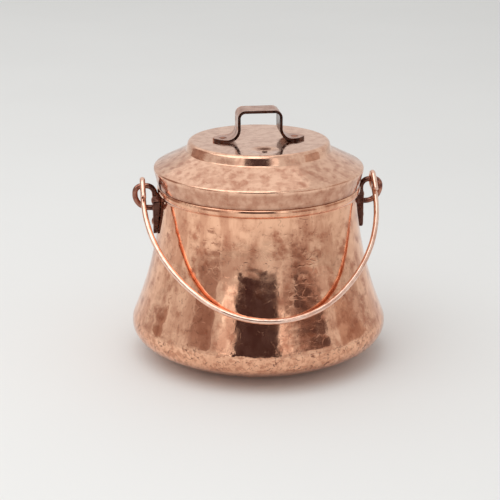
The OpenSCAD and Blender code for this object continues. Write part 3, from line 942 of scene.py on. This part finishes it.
@dataclass
class Lid:
    """The stepped lid: skirt, ridge, brim, riser and plateau, with a steam hole.

    Attributes:
        form: the shared sizes.
        steam_hole_d: diameter of the steam hole.
        steam_hole_out: its distance from the lid's middle.
        dish_r: radius of the shallow dish that the punch left round it.
        dish_deep: the dish's depth.
        skirt_blows: how hard the hammer falls on the skirt, beside the brim's 1.
        skirt_shade_tarnish: how far the skirt is darkened with tarnish, as painted shade, 0 to 1.
        skirt_shade: how much painted shade in the darkest colour the skirt gets.
        edge_shade: how much more painted shade it gets towards its lower edge.
        fine: longest stretch of the outer outline.
        plain: longest stretch of the inner one.
        arc_step: longest stretch of an arc, as a share of its radius.
        steps: steps of a full turn.
    """

    form: PotForm
    steam_hole_d: float = 4.5 * MM
    steam_hole_out: float = 39 * MM
    dish_r: float = 14 * MM
    dish_deep: float = 1.7 * MM
    skirt_blows: float = 0.6
    skirt_shade_tarnish: float = 0.95
    skirt_shade: float = 0.12
    edge_shade: float = 0.4
    fine: float = 1.4 * MM
    plain: float = 4 * MM
    arc_step: float = 0.2
    steps: int = 400

    def face(self, depth: float, spacing: float) -> Outline:
        """Draws the lid's face from the axis out to its lower edge.

        Args:
            depth: how far under the outer face it lies.
            spacing: distance between its points.

        Returns:
            The points.
        """
        f = self.form
        brim = 90 - f.brim_slope
        arcs = [corner(f.plateau_v, 90, f.riser_lean, f.plateau_round, depth, True),
                corner(f.riser_v, f.riser_lean, brim, f.riser_foot_round, depth, False),
                corner(f.ridge_v, brim, -f.skirt_lean, f.ridge_round, depth, True)]
        points = [Vector((0, f.plateau_z - depth))]
        for arc in arcs:
            points += arc.points(min(spacing, abs(arc.radius) * self.arc_step))
        low_r = f.skirt_low_r - depth / math.cos(math.radians(f.skirt_lean))
        return evenly(points + [Vector((low_r, f.seat_z))], spacing)

    def build(self) -> bpy.types.Object:
        """Builds the lid.

        Returns:
            The lid's object.
        """
        f = self.form
        outer = self.face(0.0, self.fine)
        inner = self.face(f.lid_wall, self.plain)
        bm = marked_mesh()
        spin_outline(bm, outer + [inner[-1]], self.steps, 0)
        spin_outline(bm, inner, self.steps, 1)
        skin = close_shell(bm)
        brim = Hammer(8 * MM, 0.08 * MM, tilt=0.008, seed=31)
        brim.strike_round([p for p in outer if p.x > f.riser_r + 2 * MM])
        brim.work(bm, skin, self.force)
        hollow = bm.verts.layers.float["hollow"]
        painted_shade = bm.verts.layers.float["painted_shade"]
        # Painted shade on the skirt: the tarnish and the darkest colour stand for the shadowed
        # floor that the skirt mirrors, and they grow towards its lower edge for the shadow in the
        # joint above the bead.
        for v in skin:
            skirt = smooth(f.ridge_v.y - 1 * MM, f.ridge_v.y - 4 * MM, v.co.z)
            edge = smooth(f.seat_z + 3 * MM, f.seat_z, v.co.z)
            v[hollow] = max(v[hollow], self.skirt_shade_tarnish * skirt)
            v[painted_shade] = skirt * (self.skirt_shade + self.edge_shade * edge)
        self.dish(bm)
        lid = new_mesh_object("hammered_lid", bm, LID_COPPER.material(),
                              Tin("tin_in_lid").material())
        self.punch(lid)
        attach(lid, "pot")
        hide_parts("lid")
        return lid

    def force(self, place: Vector) -> float:
        """Tells how hard the hammer falls: on the brim, less on the skirt, not on the plateau.

        Args:
            place: the place on the lid.

        Returns:
            The force, 0 to 1.
        """
        f = self.form
        r = math.hypot(place.x, place.y)
        if place.z < f.ridge_v.y - 2 * MM:
            share = self.skirt_blows * smooth(f.seat_z, f.seat_z + 4 * MM, place.z)
        else:
            share = smooth(f.riser_r + 1 * MM, f.riser_r + 5 * MM, r)
        return share * smooth(1 * MM, 4 * MM, (Vector((r, place.z)) - f.ridge_v).length)

    def dish(self, bm: BMesh) -> None:
        """Sinks both faces of the plateau a little round the steam hole, as the punch does.

        Args:
            bm: the lid's mesh.
        """
        for v in bm.verts:
            if v.co.z > self.form.riser_v.y:
                out = math.hypot(v.co.x, v.co.y + self.steam_hole_out) / self.dish_r
                v.co.z -= self.dish_deep * max(0.0, 1 - out * out) ** 2

    def punch(self, lid: bpy.types.Object) -> None:
        """Cuts the steam hole through the plateau.

        Args:
            lid: the lid's object, whose mesh is changed.
        """
        f = self.form
        cutter_bm = bmesh.new()
        bmesh.ops.create_cone(cutter_bm, cap_ends=True, segments=40,
                              radius1=self.steam_hole_d / 2, radius2=self.steam_hole_d / 2,
                              depth=6 * MM)
        bmesh.ops.translate(cutter_bm, verts=cutter_bm.verts,
                            vec=(0, -self.steam_hole_out, f.plateau_z))
        cutter = new_mesh_object("steam_hole_cutter", cutter_bm)
        apply_boolean(lid, cutter)
        # Painted shade: the steam hole's wall is darkened to the darkest colour.
        soot_and_shade = lid.data.attributes["painted_shade"]
        on_wall = 0.05 * MM
        for v in lid.data.vertices:
            off = Vector((v.co.x, v.co.y + self.steam_hole_out)).length - self.steam_hole_d / 2
            if abs(off) < on_wall and v.co.z > f.riser_v.y:
                soot_and_shade.data[v.index].value = 1.0


def apply_boolean(target: bpy.types.Object, cutter: bpy.types.Object) -> None:
    """Cuts one mesh from another and removes the cutter.

    Args:
        target: the object whose mesh is cut.
        cutter: the object that cuts, which is deleted.
    """
    cut = target.modifiers.new("cut", "BOOLEAN")
    cut.operation = "DIFFERENCE"
    cut.object = cutter
    cut.solver = "EXACT"
    bake_modifiers(target)
    bpy.data.objects.remove(cutter)


def bake_modifiers(obj: bpy.types.Object) -> None:
    """Puts the result of an object's modifiers in its mesh.

    Args:
        obj: the object, which has no modifiers afterwards.
    """
    bpy.context.view_layer.update()
    graph = bpy.context.evaluated_depsgraph_get()
    mesh = bpy.data.meshes.new_from_object(obj.evaluated_get(graph), depsgraph=graph,
                                           preserve_all_data_layers=True)
    obj.modifiers.clear()
    obj.data = mesh


@dataclass
class StrapHandle:
    """The lid's handle: one strap bent up between two pointed feet.

    Attributes:
        form: the shared sizes.
        thick: the strap's thickness.
        half_w: half of its width.
        rise: height of its top above the plateau.
        leg_r: distance of a leg's outer face from the middle.
        upper_bend: outer radius of the two upper bends.
        foot_bend: inner radius of the bends at the feet.
        foot_reach: from a leg's outer face to the tip of its foot.
        foot_point: half of the angle between the sides of a foot's point.
        tip_round: radius of a foot's tip.
        side_round: radius where a foot's sides turn towards the tip.
        edge_round: width of the strap's worn edges.
        spare: length that the line is drawn past the foot's tip.
        strip: width of the strips that the flat strap is divided into.
        sharp_turn: angle in radians between two faces that makes the edge between them sharp.
        edge_shade: how dark the narrow edges are painted, as painted shade, 0 to 1.
        inner_shade: how dark the inner side is painted, as painted shade, 0 to 1.
    """

    form: PotForm
    thick: float = 2.4 * MM
    half_w: float = 11 * MM
    rise: float = 26.9 * MM
    leg_r: float = 19 * MM
    upper_bend: float = 6.5 * MM
    foot_bend: float = 8.8 * MM
    foot_reach: float = 20.3 * MM
    foot_point: float = 50.0
    tip_round: float = 5 * MM
    side_round: float = 8 * MM
    edge_round: float = 0.55 * MM
    spare: float = 1 * MM
    strip: float = 1 * MM
    sharp_turn: float = 1.0
    edge_shade: float = 0.95
    inner_shade: float = 0.85

    def upper_line(self) -> Outline:
        """Draws the strap's upper face from the middle to past the right foot's tip.

        Returns:
            The points, as distance from the middle and height.
        """
        f = self.form
        top_z = f.plateau_z + self.rise
        foot_z = f.plateau_z + self.thick
        bends = [corner(Vector((self.leg_r, top_z)), 90, 0, self.upper_bend, 0, True),
                 corner(Vector((self.leg_r, foot_z)), 0, 90, self.foot_bend, 0, False)]
        points = [Vector((0, top_z))]
        for bend in bends:
            points += bend.points(0.6 * MM)
        return evenly(points + [Vector((self.leg_r + self.foot_reach + self.spare, foot_z))],
                      self.strip)

    def flat_outline(self, length: float) -> Outline:
        """Draws the right half of the strap before it is bent, from its middle.

        Args:
            length: the strap's length from its middle to a foot's tip.

        Returns:
            The points, from the back edge round the tip to the front edge.
        """
        turn = 90 - self.foot_point
        lean = math.radians(turn)
        point = Vector((length + self.tip_round * (1 / math.cos(lean) - 1), 0))
        side = Vector((point.x - self.half_w * math.tan(lean), self.half_w))
        arcs = [corner(side, 90, turn, self.side_round, 0, True),
                corner(point, turn, -turn, self.tip_round, 0, True),
                corner(Vector((side.x, -self.half_w)), -turn, -90, self.side_round, 0, True)]
        return [p for arc in arcs for p in arc.points(0.7 * MM)]

    def flat_strap(self, along: list[float]) -> BMesh:
        """Cuts the strap out flat, with edges across it wherever it will bend.

        Args:
            along: distances from its middle to the points of its upper line.

        Returns:
            The flat strap's mesh.
        """
        half = self.flat_outline(along[-1] - self.spare)
        outline = half + [Vector((-p.x, -p.y)) for p in half]
        bm = marked_mesh()
        bm.faces.new([bm.verts.new((p.x, p.y, 0)) for p in outline])
        cuts = [(Vector((s * a, 0, 0)), Vector((1, 0, 0))) for a in along[1:-1] for s in (-1, 1)]
        strips = math.ceil(self.half_w / self.strip) - 1
        cuts += [(Vector((0, i * self.strip, 0)), Vector((0, 1, 0)))
                 for i in range(-strips, strips + 1)]
        for place, across in cuts:
            bmesh.ops.bisect_plane(bm, geom=bm.verts[:] + bm.edges[:] + bm.faces[:],
                                   plane_co=place, plane_no=across, dist=1e-6)
        return bm

    def build(self) -> bpy.types.Object:
        """Builds the handle.

        Returns:
            The handle's object.
        """
        line = self.upper_line()
        along = [0.0]
        for a, b in zip(line, line[1:]):
            along.append(along[-1] + (b - a).length)
        bm = self.flat_strap(along)
        for v in bm.verts:
            at = self.on_line(line, along, abs(v.co.x))
            v.co = Vector((math.copysign(at.x, v.co.x) if v.co.x else 0.0, v.co.y, at.y))
        bmesh.ops.recalc_face_normals(bm, faces=bm.faces)
        if sum(f.normal.z * f.calc_area() for f in bm.faces) < 0:
            bmesh.ops.reverse_faces(bm, faces=bm.faces)
        bm.normal_update()
        bmesh.ops.solidify(bm, geom=bm.faces[:], thickness=self.thick)
        bmesh.ops.recalc_face_normals(bm, faces=bm.faces)
        rim = [e for e in bm.edges if e.is_manifold and e.calc_face_angle(0) > self.sharp_turn]
        bmesh.ops.bevel(bm, geom=rim, offset=self.edge_round, segments=3, profile=0.5,
                        affect="EDGES", material=-1, clamp_overlap=True)
        self.forge(bm)
        handle = new_mesh_object("strap_handle", bm, STRAP_COPPER.material())
        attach(handle, "pot")
        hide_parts("lid_handle")
        return handle

    def on_line(self, line: Outline, along: list[float], s: float) -> Vector:
        """Finds the point of the bent strap at a distance from its middle.

        Args:
            line: the upper face's points.
            along: each point's distance from the first.
            s: the distance.

        Returns:
            The point, as distance from the middle and height.
        """
        for i in range(1, len(along)):
            if s <= along[i] or i == len(along) - 1:
                share = (s - along[i - 1]) / (along[i] - along[i - 1])
                return line[i - 1].lerp(line[i], share)
        return line[-1]

    def forge(self, bm: BMesh) -> None:
        """Gives the strap the shallow marks of its forging, and paints shade on its edges and
        inner side.

        Args:
            bm: the handle's mesh.
        """
        Hammer(5 * MM, 0.12 * MM, tilt=0.01, seed=41).work_all_over(bm, 0.03, 5, 0.5 * MM, 0.8)
        # Painted shade: the narrow edges, and the inner side that faces down and towards the
        # middle, are darkened to the darkest colour.
        painted_shade = bm.verts.layers.float["painted_shade"]
        for v in bm.verts:
            inner = max(-v.normal.z, -v.normal.x * math.copysign(1, v.co.x))
            v[painted_shade] = max(self.edge_shade * smooth(0.35, 0.7, abs(v.normal.y)),
                                self.inner_shade * smooth(0.3, 0.8, inner))


@dataclass
class Rod:
    """A round rod that is drawn out along straights and bends, as a smith bends it.

    Attributes:
        diameter: the rod's diameter.
        sides: how many sides its section has.
        stretch: longest step along a straight or a bend.
        step_turn: most degrees that a step of a bend turns.
        end_edge: width of the worn edge of its ends, as a share of the diameter.
        end_rise: how far the ends stand out within it, as a share of the diameter.
    """

    diameter: float
    sides: int
    stretch: float
    step_turn: float = 9.0
    end_edge: float = 0.12
    end_rise: float = 0.05

    def run(self, bm: BMesh, start: Matrix,
            steps: list[tuple[float, float, float]]) -> Matrix:
        """Draws a rod from a place along its X axis.

        Args:
            bm: the mesh that it is added to.
            start: the frame at the rod's start.
            steps: (length, 0, roll) for a straight, (radius, turn, roll) for a bend to the left,
                or to the right where turn is negative. Angles are in degrees, and the roll turns
                the plane of the bend about the rod first.

        Returns:
            The frame at the rod's end.
        """
        ring = bmesh.ops.create_circle(bm, segments=self.sides, radius=self.diameter / 2,
                                       cap_ends=False)["verts"]
        bmesh.ops.transform(bm, verts=ring,
                            matrix=start @ Matrix.Rotation(math.pi / 2, 4, "Y"))
        edges = list({e for v in ring for e in v.link_edges})
        self.cap(bm, edges)
        at = start
        for size, turn, roll in steps:
            at = at @ Matrix.Rotation(math.radians(roll), 4, "X")
            edges, at = (self.straight(bm, edges, at, size) if turn == 0
                         else self.bend(bm, edges, at, size, turn))
        self.cap(bm, edges)
        return at

    def straight(self, bm: BMesh, edges: list, at: Matrix,
                 length: float) -> tuple[list, Matrix]:
        """Draws a straight stretch.

        Args:
            bm: the mesh that it is added to.
            edges: the ring of edges that it starts from.
            at: the frame there.
            length: the stretch's length.

        Returns:
            The last ring's edges, and the frame there.
        """
        count = max(1, math.ceil(length / self.stretch))
        step = at.to_3x3() @ Vector((length / count, 0, 0))
        for _ in range(count):
            new = bmesh.ops.extrude_edge_only(bm, edges=edges)["geom"]
            edges = [g for g in new if isinstance(g, bmesh.types.BMEdge)
                     and not any(v in e.verts for e in edges for v in g.verts)]
            verts = list({v for e in edges for v in e.verts})
            bmesh.ops.translate(bm, verts=verts, vec=step)
        return edges, at @ Matrix.Translation((length, 0, 0))

    def bend(self, bm: BMesh, edges: list, at: Matrix, radius: float,
             turn: float) -> tuple[list, Matrix]:
        """Draws a bend.

        Args:
            bm: the mesh that it is added to.
            edges: the ring of edges that it starts from.
            at: the frame there.
            radius: the bend's radius.
            turn: its angle in degrees, positive to the left.

        Returns:
            The last ring's edges, and the frame there.
        """
        left = -1 if turn < 0 else 1
        centre = at @ Vector((0, left * radius, 0))
        axis = at.to_3x3() @ UP
        count = max(2, math.ceil(abs(math.radians(turn)) * radius / self.stretch),
                    math.ceil(abs(turn) / self.step_turn))
        verts = list({v for e in edges for v in e.verts})
        new = bmesh.ops.spin(bm, geom=verts + edges, cent=centre, axis=axis,
                             angle=math.radians(turn), steps=count, use_merge=False,
                             use_duplicate=False)["geom_last"]
        last = [g for g in new if isinstance(g, bmesh.types.BMEdge)]
        turned = (Matrix.Translation((0, left * radius, 0))
                  @ Matrix.Rotation(math.radians(turn), 4, "Z")
                  @ Matrix.Translation((0, -left * radius, 0)))
        return last, at @ turned

    def cap(self, bm: BMesh, edges: list) -> None:
        """Closes the rod's end with a cut face that has a worn edge.

        Args:
            bm: the rod's mesh.
            edges: the ring of edges at the end.
        """
        made = bmesh.ops.contextual_create(bm, geom=edges)["faces"]
        bmesh.ops.inset_region(bm, faces=made, thickness=self.diameter * self.end_edge,
                               depth=self.diameter * self.end_rise, use_even_offset=True)


@dataclass
class Bail:
    """The swinging bail: a bow with a cranked eye at each end, at rest on the front.

    Attributes:
        form: the shared sizes.
        diameter: the rod's diameter.
        ear_rod_d: diameter of the ear's rod that an eye goes round.
        eye_clear: gap between the two rods.
        eye_len: from the hinge axis to the rod's cut end.
        eye_end_gap: gap between the cut end and the bow.
        drop: from the hinge axis to the middle of the bow.
        bow_round: radius of the bow's bottom.
        flank_gap: gap between flank and bow at rest.
    """

    form: PotForm
    diameter: float = 4.7 * MM
    ear_rod_d: float = 4.8 * MM
    eye_clear: float = 0.6 * MM
    eye_len: float = 15 * MM
    eye_end_gap: float = 0.3 * MM
    drop: float = 136.2 * MM
    bow_round: float = 82 * MM
    flank_gap: float = 0.3 * MM

    def __post_init__(self) -> None:
        """Works out the bends that follow from the driving sizes."""
        f = self.form
        self.eye_round = self.ear_rod_d / 2 + self.eye_clear + self.diameter / 2
        self.crank_turn = 2 * math.degrees(math.atan(self.eye_round / self.eye_len))
        self.crank_round = self.eye_len / (2 * math.sin(math.radians(self.crank_turn)))
        self.closing = math.degrees(math.asin((self.eye_round - self.diameter
                                               - self.eye_end_gap) / self.eye_len))
        bow_h = self.drop - self.bow_round - self.eye_len
        self.side_round = ((f.eye_r ** 2 + bow_h ** 2 - self.bow_round ** 2)
                           / (2 * (f.eye_r - self.bow_round)))
        self.side_turn = math.degrees(math.atan2(bow_h, self.side_round - f.eye_r))
        to_hollow = f.hollow_c - Vector((0, f.hinge_z))
        reach = f.hollow_round - self.diameter / 2 - self.flank_gap
        along = ((self.drop ** 2 - reach ** 2 + to_hollow.length_squared)
                 / (2 * to_hollow.length))
        self.rest_lean = (90 + math.degrees(math.atan2(to_hollow.y, to_hollow.x))
                          - math.degrees(math.acos(along / self.drop)))

    def build(self) -> bpy.types.Object:
        """Builds the bail.

        Returns:
            The bail's object.
        """
        f = self.form
        rod = Rod(self.diameter, sides=22, stretch=1.3 * MM)
        bm = marked_mesh()
        eye = (Matrix.Translation((f.eye_r, 0, 0)) @ Matrix.Rotation(math.pi / 2, 4, "Z")
               @ Matrix.Rotation(math.pi / 2, 4, "X"))
        end = (eye @ Matrix.Rotation(math.radians(self.closing), 4, "Z")
               @ Matrix.Translation((-self.eye_round, -self.eye_len, 0))
               @ Matrix.Rotation(math.pi / 2, 4, "Z"))
        half = 90 - self.side_turn
        rod.run(bm, end, [(self.eye_len, 0, 0),
                          (self.eye_round, -180 - self.closing, 0),
                          (self.crank_round, -self.crank_turn, 0),
                          (self.crank_round, self.crank_turn, 0),
                          (self.side_round, -self.side_turn, 90),
                          (self.bow_round, -2 * half, 0),
                          (self.side_round, -self.side_turn, 0),
                          (self.crank_round, self.crank_turn, -90),
                          (self.crank_round, -self.crank_turn, 0),
                          (self.eye_round, -180 - self.closing, 0),
                          (self.eye_len, 0, 0)])
        bmesh.ops.recalc_face_normals(bm, faces=bm.faces)
        Hammer(4.2 * MM, 0.11 * MM, tilt=0.008, seed=53).work_all_over(bm, 0.045, 8, 0.6 * MM)
        hang = (Matrix.Translation((0, 0, f.hinge_z))
                @ Matrix.Rotation(math.radians(-self.rest_lean), 4, "X"))
        bmesh.ops.transform(bm, verts=bm.verts, matrix=hang)
        bail = new_mesh_object("swinging_bail", bm, BAIL_COPPER.material())
        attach(bail, "bail")
        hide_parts("bail")
        return bail


@dataclass
class Ear:
    """A ring ear: a rod bent to a ring whose tail is flattened and riveted to the flank.

    Attributes:
        form: the shared sizes.
        side: which side of the pot it is on.
        cell: size of the cells that its shape is rebuilt from.
        rounds: how many times the rebuilt shape is smoothed.
        soot_and_shade: how dark it is painted near the pot and on faces turned to the side or
            towards the pot, as painted shade, 0 to 1.
    """

    form: PotForm
    side: Side
    cell: float = 0.42 * MM
    rounds: int = 4
    soot_and_shade: float = 0.8

    def build(self) -> bpy.types.Object:
        """Builds the ear from its node's own shape.

        Returns:
            The ear's object.
        """
        node = f"{self.side.name.lower()}_ear"
        bm = bmesh.new()
        bm.from_mesh(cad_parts[node].data)
        bmesh.ops.remove_doubles(bm, verts=bm.verts, dist=MERGE_GAP)
        ear = new_mesh_object(f"forged_{node}", bm)
        skin = ear.modifiers.new("skin", "REMESH")
        skin.mode = "VOXEL"
        skin.voxel_size = self.cell
        bake_modifiers(ear)
        bm = marked_mesh(ear.data)
        for _ in range(self.rounds):
            bmesh.ops.smooth_vert(bm, verts=bm.verts, factor=0.5, use_axis_x=True,
                                  use_axis_y=True, use_axis_z=True)
        side = self.side.value
        marks = Hammer(3.6 * MM, 0.12 * MM, tilt=0.01, seed=61 + side)
        marks.work_all_over(bm, 0.006, 9 + side, 0.4 * MM)
        # Painted shade: darker near the pot and on the faces that turn to the side or towards it.
        painted_shade = bm.verts.layers.float["painted_shade"]
        for v in bm.verts:
            near = smooth(self.form.eye_r, self.form.tail_face_r, abs(v.co.x))
            shown = smooth(-0.6, 0.5, abs(v.normal.y) - v.normal.x * side)
            v[painted_shade] = self.soot_and_shade * near * shown
        store(bm, ear.data)
        ear.data.materials.clear()
        ear.data.materials.append(FORGED_COPPER.material())
        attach(ear, "pot")
        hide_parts(node)
        return ear


@dataclass(frozen=True)
class Panel:
    """An upright panel round the pot, placed as the pot's middle sees it.

    Attributes:
        name: the panel's name.
        left: azimuth of its left edge in degrees, 0 at the camera and more to the right.
        right: azimuth of its right edge.
        low: elevation of its lower edge, in degrees.
        high: elevation of its upper edge.
        glow: its brightness where it is a light, else 0.
        colour: its colour where it is a card.
        distance: how far from the pot's axis it stands.
        eye_height: height that the elevations are measured from.
    """

    name: str
    left: float
    right: float
    low: float
    high: float
    glow: float = 0.0
    colour: Colour = BLACK
    distance: float = 1.3
    eye_height: float = 0.08

    def width(self) -> float:
        """Returns the panel's width."""
        return 2 * self.distance * math.tan(math.radians(self.right - self.left) / 2)

    def height(self) -> float:
        """Returns the panel's height."""
        return self.distance * (math.tan(math.radians(self.high))
                                - math.tan(math.radians(self.low)))

    def placed(self) -> Matrix:
        """Works out where the panel stands.

        Returns:
            The frame of its middle, its Z axis towards the pot.
        """
        turn = math.radians((self.left + self.right) / 2)
        rise = self.eye_height + self.distance * (math.tan(math.radians(self.high))
                                                  + math.tan(math.radians(self.low))) / 2
        return (Matrix.Rotation(turn, 4, "Z") @ Matrix.Translation((0, -self.distance, rise))
                @ Matrix.Rotation(-math.pi / 2, 4, "X"))


@dataclass
class Studio:
    """The pale floor, the soft lights, the cards that the metal mirrors, and the camera.

    Attributes:
        lens: the camera's focal length on a sensor of 36 mm.
        yaw: how far the camera looks to the right of the pot's front, in degrees.
        pitch: how far it looks down, in degrees.
        side: how far right of the pot's axis it stands.
        back: how far in front of the pot it stands.
        height: its height.
        floor_r: the floor's radius.
        floor_paint: its finish.
        air: colour of the light from all round.
        air_glow: its strength.
        panels: the cards and lights that stand round the pot.
        hung: the lights overhead: each one's name, place, width, height and glow.
    """

    lens: float = 100.8
    yaw: float = 7.0
    pitch: float = 17.75
    side: float = -7.4 * MM
    back: float = 1163.5 * MM
    height: float = 462.8 * MM
    floor_r: float = 9.0
    floor_paint: Paint = Paint("pale_floor", rgb(0.82, 0.82, 0.81))
    air: Colour = rgb(0.93, 0.925, 0.915)
    air_glow: float = 0.77
    panels: tuple[Panel, ...] = (
        Panel("camera_side_card", -21.5, 18.0, 4.6, 36.0, colour=rgb(0.075, 0.045, 0.05)),
        Panel("left_strip_light", -34.0, -22.5, 6.5, 13.0, glow=0.6),
        Panel("left_fill_light", -37.0, -22.5, 13.5, 40.0, glow=0.3),
        Panel("right_fill_light", 19.0, 31.0, 12.0, 40.0, glow=0.45),
        Panel("left_dim_card", -57.0, -38.0, 3.5, 27.0, colour=rgb(0.52, 0.40, 0.37),
              distance=0.35),
        Panel("right_dim_card", 32.0, 57.0, 3.5, 27.0, colour=rgb(0.62, 0.48, 0.44),
              distance=0.35),
        Panel("right_low_card", 31.0, 58.0, 5.0, 8.0, colour=rgb(0.15, 0.10, 0.10),
              distance=0.34),
        Panel("right_edge_card", 21.0, 31.0, 6.4, 8.2, colour=rgb(0.42, 0.32, 0.29),
              distance=0.34),
        Panel("far_right_card", 76.0, 108.0, 2.0, 24.0, colour=rgb(0.60, 0.47, 0.42)),
        Panel("far_left_card", -128.0, -94.0, 2.0, 40.0, colour=rgb(0.43, 0.30, 0.26)),
    )
    hung: tuple[tuple[str, tuple[float, float, float], float, float, float], ...] = (
        ("overhead", (-0.9, -0.85, 1.6), 2.4, 2.0, 1.15),
        ("rear_overhead", (-0.75, 1.3, 1.6), 2.6, 2.2, 0.22))

    def build(self) -> None:
        """Builds the studio."""
        self.floor()
        self.world()
        facing_down = Matrix.Rotation(math.pi, 4, "X")
        for name, place, width, height, glow in self.hung:
            self.light(name, self.facing() @ Matrix.Translation(place) @ facing_down, width,
                       height, glow)
        for panel in self.panels:
            if panel.glow:
                self.light(panel.name, self.facing() @ panel.placed(), panel.width(),
                           panel.height(), panel.glow)
            else:
                self.card(panel)
        self.camera()

    def facing(self) -> Matrix:
        """Returns the turn from the camera's yaw to the row's frame."""
        return Matrix.Rotation(math.radians(-self.yaw), 4, "Z")

    def floor(self) -> None:
        """Lays the pale floor."""
        bm = bmesh.new()
        bmesh.ops.create_circle(bm, cap_ends=True, segments=96, radius=self.floor_r)
        floor = new_mesh_object("floor", bm, self.floor_paint.material())

    def card(self, panel: Panel) -> None:
        """Stands a card that only the metal mirrors.

        Args:
            panel: its place and colour.
        """
        bm = bmesh.new()
        bmesh.ops.create_grid(bm, x_segments=1, y_segments=1, size=0.5)
        size = Matrix.Diagonal((panel.width(), panel.height(), 1, 1))
        bmesh.ops.transform(bm, verts=bm.verts, matrix=self.facing() @ panel.placed() @ size)
        card = new_mesh_object(panel.name, bm,
                               Paint(panel.name + "_paint", panel.colour).material())
        card.visible_camera = False
        card.visible_shadow = False
        card.visible_diffuse = False

    def world(self) -> None:
        """Lights the scene from all round with pale grey."""
        world = bpy.data.worlds.new("studio_world")
        world.use_nodes = True
        back = world.node_tree.nodes["Background"]
        back.inputs["Color"].default_value = self.air
        back.inputs["Strength"].default_value = self.air_glow
        bpy.context.scene.world = world

    def light(self, name: str, place: Matrix, width: float, height: float, glow: float) -> None:
        """Hangs a soft rectangular light.

        Args:
            name: the light's name.
            place: the frame of its middle, its Z axis towards what it lights.
            width: its width.
            height: its height.
            glow: its brightness.
        """
        data = bpy.data.lights.new(name, "AREA")
        data.shape = "RECTANGLE"
        data.size = width
        data.size_y = height
        data.energy = glow * math.pi * width * height
        light = bpy.data.objects.new(name, data)
        light.matrix_world = place @ Matrix.Rotation(math.pi, 4, "X")
        bpy.context.scene.collection.objects.link(light)

    def camera(self) -> None:
        """Places the camera at the photograph's viewing angle."""
        data = bpy.data.cameras.new("camera")
        data.lens = self.lens
        data.sensor_width = 36.0
        data.clip_end = 30.0
        camera = bpy.data.objects.new("camera", data)
        camera.matrix_world = (self.facing()
                               @ Matrix.Translation((self.side, -self.back, self.height))
                               @ Matrix.Rotation(math.radians(90 - self.pitch), 4, "X"))
        bpy.context.scene.collection.objects.link(camera)
        bpy.context.scene.camera = camera


def dress_rivets() -> None:
    """Gives the rivets' nodes their material."""
    copper = RIVET_COPPER.material()
    for name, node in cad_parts.items():
        if name.endswith("rivet"):
            node.data.materials.clear()
            node.data.materials.append(copper)
            LOG.info("dressed %s", name)


def main() -> None:
    """Builds the pieces in order and reports each."""
    logging.basicConfig(level=logging.INFO, format="%(name)s: %(message)s", stream=sys.stdout)
    form = PotForm()
    bpy.context.scene.view_settings.view_transform = "Standard"
    Studio().build()
    pieces = [PotBody(form), Lid(form), StrapHandle(form), Bail(form),
              Ear(form, Side.LEFT), Ear(form, Side.RIGHT)]
    for piece in pieces:
        obj = piece.build()
        LOG.info("built %s with %d faces", obj.name, len(obj.data.polygons))
    dress_rivets()


if __name__ == "__main__":
    main()
